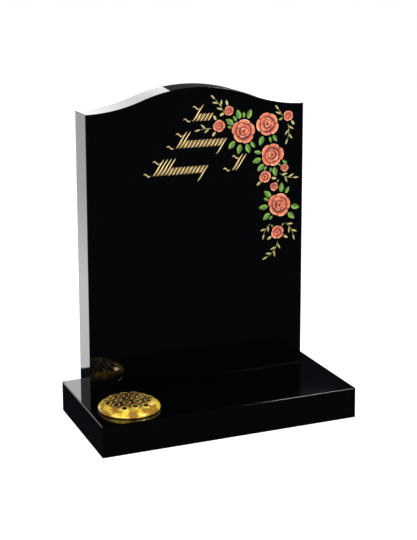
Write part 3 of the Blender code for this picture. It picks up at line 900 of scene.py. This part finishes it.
lidSettings = {
    "rise": 0.020,
    "wall": 0.0015,
    "rimEdge": 0.002,
    "edgeRound": 0.0006,
    "seat": 0.005,
    "overhang": 0.003,
    "fullness": 2.4,
    "sides": 96,
    "centreReach": 0.060,  # the perforated middle is filled up to here, and the rest is turned
    "fillPitch": 0.0025,  # points that the fill has besides its edges: between their rings, and along a ring
    "fillSpacing": 0.0028,
    "fillTurn": 0.37,
    "fillMargin": 0.002,
    "fillRoom": 0.0012,
    "holeDiameter": 0.0115,
    "holeRings": 2,
    "holeBorder": 0.0205,
    "lipWidth": 0.0032,
    "lipHeight": 0.0016,
    "crestShare": 0.38,  # where across the lip its crest is
    "crestTurn": 0.25,
    "climbPower": 1.5,
    "mouthDrop": 0.55,
    "holeSides": 24,
    "holeTurn": math.radians(59),
    "glintHeading": math.radians(-23),  # the lips get pale painted glints on the two sides that lie this way
    "tarnishAndShadeReach": 0.049,
    "tarnishAndShadeFade": 0.0025,
    "sharpAngle": math.radians(55),
}
potSettings = {
    "wall": 0.0015,
    "flange": 0.0012,
    "clearance": 0.002,
    "taper": 0.006,
    "fillet": 0.005,
    "sides": 96,
    "sharpAngle": math.radians(40),
}
lidRadius = (lidHigh[0] - lidLow[0]) / 2


def domeHeight(reach, inset=0.0):
    # a superellipse from crown to rim, rise sqrt(1 - (reach / radius) ** fullness); inset: its inner side
    s = lidSettings
    share = np.clip(np.asarray(reach) / (lidRadius - inset), 0, 1)
    rise = s["rise"] - s["rimEdge"] - (inset - (s["rimEdge"] - s["wall"]) if inset else 0)
    foot = lidLow[2] + (s["wall"] if inset else s["rimEdge"])
    return foot + rise * np.sqrt(1 - share ** s["fullness"])


def holePlaces():
    # one in the middle, then rings of six, twelve and so on, along the sides of hexagons
    s = lidSettings
    pitch = (lidRadius - s["holeBorder"]) / s["holeRings"]
    places = [(0.0, 0.0)]
    for ring in range(1, s["holeRings"] + 1):
        for side in range(6):
            corner = s["holeTurn"] + math.pi / 3 * side
            along = corner + math.pi * 2 / 3
            for step in range(ring):
                x = ring * math.cos(corner) + step * math.cos(along)
                y = ring * math.sin(corner) + step * math.sin(along)
                places.append((pitch * x, pitch * y))
    return np.array(places)


def lipGrid():
    # round each hole: a rolled lip that leaves the dome, crests and turns down through the wall. A point is
    # the dome's height over a circle in its tangent plane, plus a lift along the dome's normal.
    s = lidSettings
    places = holePlaces()
    reach = np.linalg.norm(places, axis=1)
    out = places / np.maximum(reach, 1e-9)[:, None]
    out[0] = (1, 0)
    slight = lidRadius * 1e-3
    slope = (domeHeight(reach + slight) - domeHeight(np.abs(reach - slight))) / (2 * slight)
    slope[0] = 0
    size = np.sqrt(1 + slope**2)
    normal = np.column_stack([-slope[:, None] * out, np.ones(len(places))]) / size[:, None]
    first = out / size[:, None]
    second = np.stack([-out[:, 1], out[:, 0]], axis=1)
    hole, lip, height, crest = s["holeDiameter"] / 2, s["lipWidth"], s["lipHeight"], s["crestShare"]
    climb = np.linspace(0, 1, 7)
    fall = np.cos(np.pi / 2 * np.linspace(s["crestTurn"], 1, 4))
    away = np.concatenate([hole + lip * (1 - (1 - crest) * climb), hole + lip * crest * fall, [hole]])
    up = height * np.sin(np.pi / 2 * climb) ** s["climbPower"]
    lift = np.concatenate([up, height * (1 - s["mouthDrop"] * (1 - fall)), [-s["wall"]]])
    turn = circle(turnsOf(s["holeSides"]))
    ring = turn[None, :, :1] * first[:, None, :] + turn[None, :, 1:] * second[:, None, :]
    plan = places[:, None, None, :] + away[None, :, None, None] * ring[:, None, :, :]
    level = domeHeight(np.linalg.norm(plan, axis=-1))
    points = np.concatenate([plan, level[..., None]], axis=-1)
    return places, points + lift[None, :, None, None] * normal[:, None, None, :], lift


def lidMask(points, lift):
    # brown tarnish and painted shade lie between the holes and fade out before the smooth border; on the
    # crests of the lips they thin to a painted highlight
    s = lidSettings
    reach = np.linalg.norm(points[..., :2], axis=-1)
    middle = 1 / (1 + np.exp((reach - s["tarnishAndShadeReach"]) / s["tarnishAndShadeFade"]))
    return middle * (1 - 0.8 * np.clip(lift / s["lipHeight"], 0, 1) ** 3)


def fillPoints():
    # loose points for the dome's perforated middle, in rings
    s = lidSettings
    radii = np.arange(0.0, s["centreReach"] - s["fillMargin"], s["fillPitch"])
    counts = np.maximum(1, np.round(2 * np.pi * radii / s["fillSpacing"]).astype(int))
    rings = [radii[i] * circle(turnsOf(counts[i]) + s["fillTurn"] * i) for i in range(len(radii))]
    return np.concatenate(rings)


def borderProfile():
    # the turned part of the dome: its outer side, its rim, the turned-in seat and its inner side
    s = lidSettings
    foot, power = lidLow[2], s["fullness"] / 2
    angle = np.linspace(math.asin((s["centreReach"] / lidRadius) ** power), np.pi / 2, 15)
    fall = foot + s["rimEdge"] + (s["rise"] - s["rimEdge"]) * np.cos(angle)
    outer = np.column_stack([lidRadius * np.sin(angle) ** (1 / power), fall])
    outer[0] = (s["centreReach"], domeHeight(s["centreReach"]))
    bend = np.linspace(0, np.pi / 2, 4)
    rim = [lidRadius, foot] - s["edgeRound"] * np.column_stack([1 - np.cos(bend), np.sin(bend) - 1])
    seat = lidRadius - s["overhang"] - s["seat"]
    innerRadius = lidRadius - s["wall"]
    innerReach = s["centreReach"] - s["wall"]
    angle = np.linspace(np.pi / 2, math.asin((innerReach / innerRadius) ** power), 9)[1:]
    reach = innerRadius * np.sin(angle) ** (1 / power)
    inner = np.column_stack([reach, domeHeight(reach, s["wall"])])
    inner[-1] = (innerReach, domeHeight(innerReach, s["wall"]))
    turnedIn = np.array([[seat, foot], [seat, foot + s["wall"]], [innerRadius, foot + s["wall"]]])
    return np.concatenate([outer, rim, turnedIn, inner]), len(outer) + len(rim)


def makeLid():
    s = lidSettings
    places, lips, lift = lipGrid()
    crest = lift / s["lipHeight"]
    patches = []
    for place, points in zip(places, lips):
        mask = lidMask(points, np.broadcast_to(lift[:, None], points.shape[:2]).clip(0))
        # the inner turn of each lip, down into its hole, is painted full dark, as the shade inside
        mask[-3:] = 1
        away = points[..., :2] - place
        away /= np.linalg.norm(away, axis=-1, keepdims=True)
        # painted glints: pale on the crests of the lips, strongest on the two sides that lie along one
        # heading
        paintedGlint = crest.clip(0, 1)[:, None] ** 3 * (away @ turned(s["glintHeading"])) ** 2
        uv = np.stack([mask, paintedGlint], axis=-1)
        patches.append(patchOf(points, gridFaces(len(lift), s["holeSides"], wrap=True), uv=uv))
    ring = circle(turnsOf(s["sides"]))
    loose = fillPoints()
    apart = np.linalg.norm(loose[:, None, :] - places[None, :, :], axis=-1).min(axis=1)
    for inset, rims, room in ((0.0, lips[:, 0], s["lipWidth"]), (s["wall"], lips[:, -1], 0.0)):
        inside = loose[apart > s["holeDiameter"] / 2 + room + s["fillRoom"]]
        inside = np.column_stack([inside, domeHeight(np.linalg.norm(inside, axis=1), inset)])
        reach = s["centreReach"] - inset
        points, faces = flatFill(atLevel(ring * reach, domeHeight(reach, inset)), list(rims), inside)
        # the underside of the dome is painted full dark, as the shade under the lid
        mask = np.ones(len(points)) if inset else lidMask(points, np.zeros(len(points)))
        patches.append(patchOf(points, faces, uv=atLevel(mask[:, None], 0)))
    profile, outside = borderProfile()
    # the turned-in seat and the dome's inner side are painted full dark, as shade
    mask = np.repeat(np.arange(len(profile)) >= outside, s["sides"]).astype(float)
    grid = latheGrid(profile, s["sides"], (0, 0))
    faces = gridFaces(len(profile), s["sides"], wrap=True)
    patches.append(patchOf(grid, faces, uv=atLevel(mask[:, None], 0)))
    for patch in patches:
        patch["points"][:, :2] += holderPlace
    piece = pieceOf("lid_brass", patches, [lidBrass], weld=1e-6)
    piece.data.set_sharp_from_angle(angle=s["sharpAngle"])
    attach(piece, "root")
    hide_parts("lid")


def makePot():
    # a tapering cup turned from its profile, hanging by its flange
    s = potSettings
    mouth = flangeRadius - baseSettings["boreSeat"] - s["clearance"]
    foot = mouth - s["taper"]
    bend = np.linspace(0, np.pi / 2, 7)
    low, top, wall, fillet = potLow[2], potHigh[2], s["wall"], s["fillet"]
    inner = fillet - wall
    outerFoot = np.column_stack([foot - fillet * (1 - np.sin(bend)), low + fillet * (1 - np.cos(bend))])
    innerReach = foot - wall - inner * (1 - np.cos(bend))
    innerFoot = np.column_stack([innerReach, low + fillet - inner * np.sin(bend)])
    under = top - s["flange"]
    flange = [(mouth, under), (flangeRadius, under), (flangeRadius, top), (mouth - wall, top)]
    profile = np.concatenate([[(0, low)], outerFoot, flange, innerFoot, [(0, low + wall)]])
    cup = patchOf(latheGrid(profile, s["sides"], holderPlace), gridFaces(len(profile), s["sides"], wrap=True))
    piece = pieceOf("pot_brass", [cup], [potBrass], weld=1e-6)
    piece.data.set_sharp_from_angle(angle=s["sharpAngle"])
    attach(piece, "root")
    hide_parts("pot")


print("headstone")
makeHeadstone()
print("base")
makeBase()
print("flower holder")
makeLid()
makePot()

# Studio

studio = {
    "lens": 84.99,
    "shift": -0.20,
    "place": (-1.0744, -2.6003, 1.1035),
    "yaw": 22.503,
    "pitch": 10.255,
    "roll": -0.108,
    "backdrop": 1.0,
    "ambient": 0.70,
    "darkSide": (0.011, 0.013, 0.018),
    "paper": (0.86, 0.86, 0.86),
    "paperGlow": 0.4,
}
# Each softbox: centre, point that it faces, width, height, radiance, whether reflections show it
softboxes = {
    "key": ((-1.9, -2.6, 2.3), (0, 0, 0.35), 1.6, 1.4, 6.5, False),
    "right": ((2.3, -0.9, 1.0), (0, 0, 0.2), 0.9, 0.9, 5.0, False),
    "top": ((0, -0.4, 3.2), (0, 0, 0), 2.4, 2.0, 2.2, False),
    "lamp": ((1.39, -2.05, 1.67), (-0.2, -0.07, 0.09), 0.48, 0.48, 42.0, True),
    "frontLeft": ((-2.04, -1.35, 0.65), (-0.216, -0.07, 0.09), 2.55, 1.67, 1.5, True),
    "frontFill": ((-0.53, -2.27, 0.68), (-0.216, -0.07, 0.09), 1.67, 1.2, 0.32, True),
    "rearHigh": ((0.235, 2.13, 1.2), (0.235, 0, 1.2), 0.67, 0.90, 2.15, True),
    "rearDim": ((0.925, 2.13, 1.38), (0.925, 0, 1.38), 0.70, 1.44, 0.06, True),
    "rearRight": ((0.705, 1.0, 0.80), (0.705, 0, 0.80), 0.33, 0.46, 3.0, True),
    "rearFarRight": ((2.4, 2.13, 0.1), (2.4, 0, 0.1), 1.5, 1.5, 1.2, True),
    "rearArris": ((-0.75, 2.13, 0.95), (-0.75, 0, 0.95), 0.5, 0.5, 0.5, True),
}
# A card that only reflections show, for the left side of the stone: its edges, and radiance by height
sideCard = {
    "left": -3.0,
    "right": -0.66,
    "away": 2.12,
    "low": -0.624,
    "high": 0.75,
    "brightest": 2.5,
    "radiance": (
        (-0.624, 1.80), (-0.45, 1.95), (-0.25, 2.05), (-0.05, 1.72),
        (0.12, 1.44), (0.42, 1.40), (0.75, 1.40),
    ),
}


def sheetOf(name, corners, material):
    mesh = bpy.data.meshes.new(name)
    mesh.from_pydata(corners, [], [(0, 1, 2, 3)])
    mesh.materials.append(material)
    return addObject(name, mesh)


def makeSideCard():
    s = sideCard
    glow, tree, shader = newMaterial("side card glow", {"Base Color": (0, 0, 0), "Specular IOR Level": 0.0})
    parts = addNode(tree, "SeparateXYZ", (-700, 0), {"Vector": objectPlace(tree, (-900, 0))})
    inputs = {"Value": parts.outputs["Z"], "From Min": s["low"], "From Max": s["high"]}
    share = addNode(tree, "MapRange", (-500, 0), inputs)
    stops = [((z - s["low"]) / (s["high"] - s["low"]), value / s["brightest"]) for z, value in s["radiance"]]
    ramp = rampOf(tree, (-300, 0), share.outputs["Result"], stops)
    setInputs(tree, shader, {"Emission Color": ramp, "Emission Strength": s["brightest"]})
    edges = (("left", "low"), ("left", "high"), ("right", "high"), ("right", "low"))
    card = sheetOf("side card", [(s[x], s["away"], s[z]) for x, z in edges], glow)
    card.visible_camera = False
    card.visible_diffuse = False
    card.visible_shadow = False


def makeStudio():
    s = studio
    lens = bpy.data.cameras.new("camera")
    lens.lens = s["lens"]
    lens.shift_y = s["shift"]
    camera = addObject("camera", lens)
    yaw, pitch, roll = (math.radians(s[name]) for name in ("yaw", "pitch", "roll"))
    aim = Euler((math.pi / 2 - pitch, 0, -yaw), "XYZ").to_matrix() @ Euler((0, 0, roll), "XYZ").to_matrix()
    camera.matrix_world = aim.to_4x4()
    camera.location = s["place"]
    bpy.context.scene.camera = camera
    for name, (centre, target, width, height, radiance, shown) in softboxes.items():
        light = bpy.data.lights.new(name, "AREA")
        light.shape = "RECTANGLE"
        light.size = width
        light.size_y = height
        light.energy = radiance * math.pi * width * height
        box = addObject(name, light)
        box.location = centre
        box.rotation_euler = (Vector(target) - Vector(centre)).to_track_quat("-Z", "Y").to_euler()
        box.visible_camera = False
        box.visible_glossy = shown
    fixed = {"Base Color": s["paper"], "Roughness": 0.9, "Specular IOR Level": 0.0}
    fixed.update({"Emission Color": (1, 1, 1), "Emission Strength": s["paperGlow"]})
    paper = newMaterial("paper", fixed)[0]
    floor = sheetOf("floor", [(-9, -6, 0), (9, -6, 0), (9, 16, 0), (-9, 16, 0)], paper)
    floor.visible_glossy = False
    makeSideCard()


def makeWorld():
    # white to the camera, soft light for matt surfaces, and near dark in reflections, as black cards give
    world = bpy.data.worlds.new("studio")
    bpy.context.scene.world = world
    world.use_nodes = True
    tree = world.node_tree
    tree.nodes.clear()

    def background(height, strength, colour):
        return addNode(tree, "Background", (-300, height), {"Strength": strength, "Color": colour}).outputs[0]

    def mixed(place, factor, first, second):
        return addNode(tree, "MixShader", place, {0: factor, 1: first, 2: second}).outputs[0]

    path = addNode(tree, "LightPath", (-600, 300)).outputs
    white = background(300, studio["backdrop"], (1, 1, 1))
    soft = background(150, studio["ambient"], (1, 1, 1))
    dark = background(0, 1.0, studio["darkSide"])
    mirrored = mixed((0, 100), path["Is Glossy Ray"], soft, dark)
    seen = mixed((200, 200), path["Is Camera Ray"], mirrored, white)
    addNode(tree, "OutputWorld", (400, 200), {"Surface": seen})


print("studio")
makeStudio()
makeWorld()
bpy.context.scene.view_settings.view_transform = "Standard"
